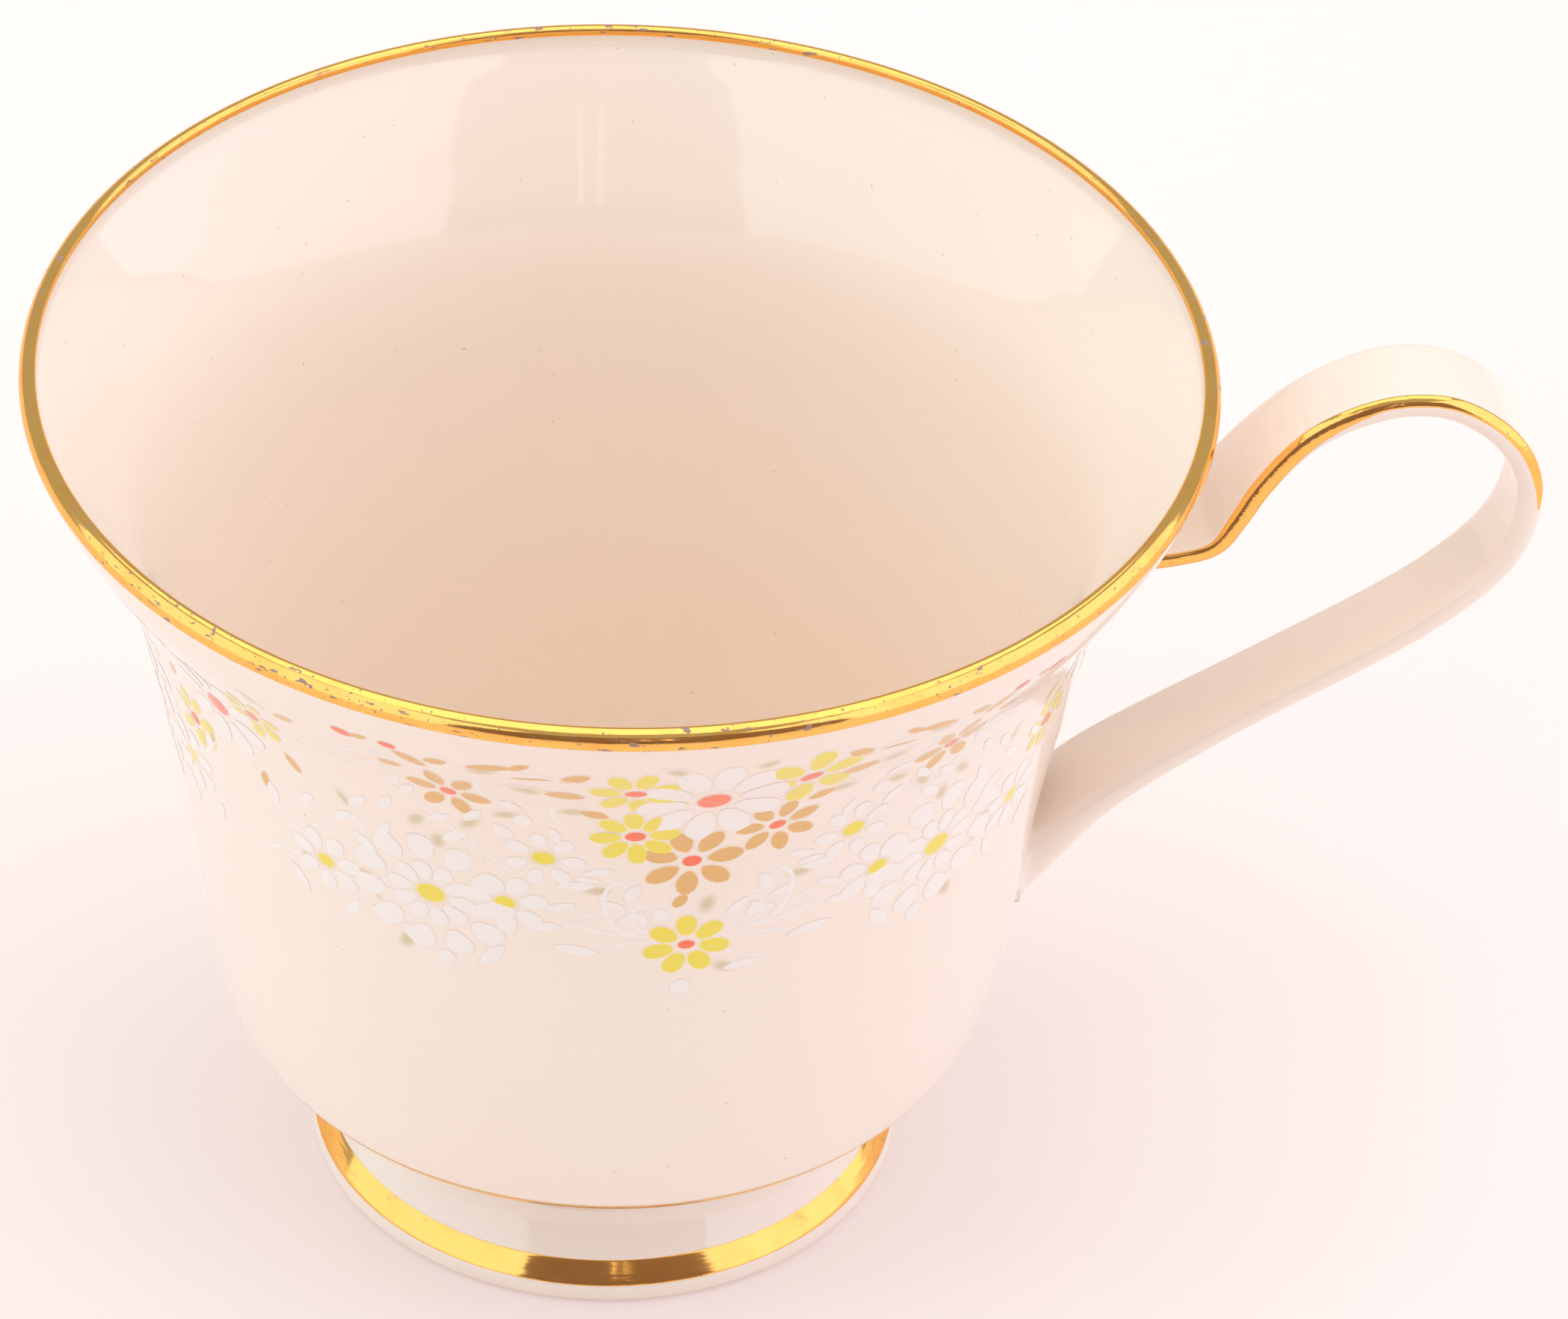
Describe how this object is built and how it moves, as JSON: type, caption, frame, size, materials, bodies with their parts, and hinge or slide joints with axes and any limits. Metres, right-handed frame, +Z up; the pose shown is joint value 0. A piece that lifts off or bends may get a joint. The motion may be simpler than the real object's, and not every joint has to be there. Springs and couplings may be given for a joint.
{
  "type": "teacup",
  "caption": "Footed teacup with a flared rim, a flat ribbon loop handle, gilt rim, foot and handle edges, and enamel flower sprays round the upper wall.",
  "frame": {"origin": "on the table, under the middle of the whole cup with its handle; the bowl's own axis is 13.2 mm towards -X", "axes": "+X from the bowl towards the handle, +Z up through the rim, -Z out of the foot's standing ring"},
  "size_m": [0.1214, 0.095, 0.0781],
  "materials": {
    "bone_china": "clear gloss glaze over warm white bone china",
    "slip_joint": "fired slip, sponged smooth",
    "burnished_gold": "burnished gold, lightly worn",
    "floral_enamel": "fired enamel transfer in white, yellow, ochre and coral"
  },
  "bodies": {
    "root": {"bowl": "bone_china", "foot": "bone_china", "handle": "bone_china", "foot_slip_seam": "slip_joint", "handle_upper_slip_joint": "slip_joint", "handle_lower_slip_joint": "slip_joint", "rim_gilding": "burnished_gold", "belly_gilding_line": "burnished_gold", "foot_gilding_band": "burnished_gold", "handle_gilding_near": "burnished_gold", "handle_gilding_far": "burnished_gold", "floral_transfer_1": "floral_enamel", "floral_transfer_2": "floral_enamel", "floral_transfer_3": "floral_enamel", "floral_transfer_4": "floral_enamel", "floral_transfer_5": "floral_enamel", "floral_transfer_6": "floral_enamel"}
  },
  "joints": []
}
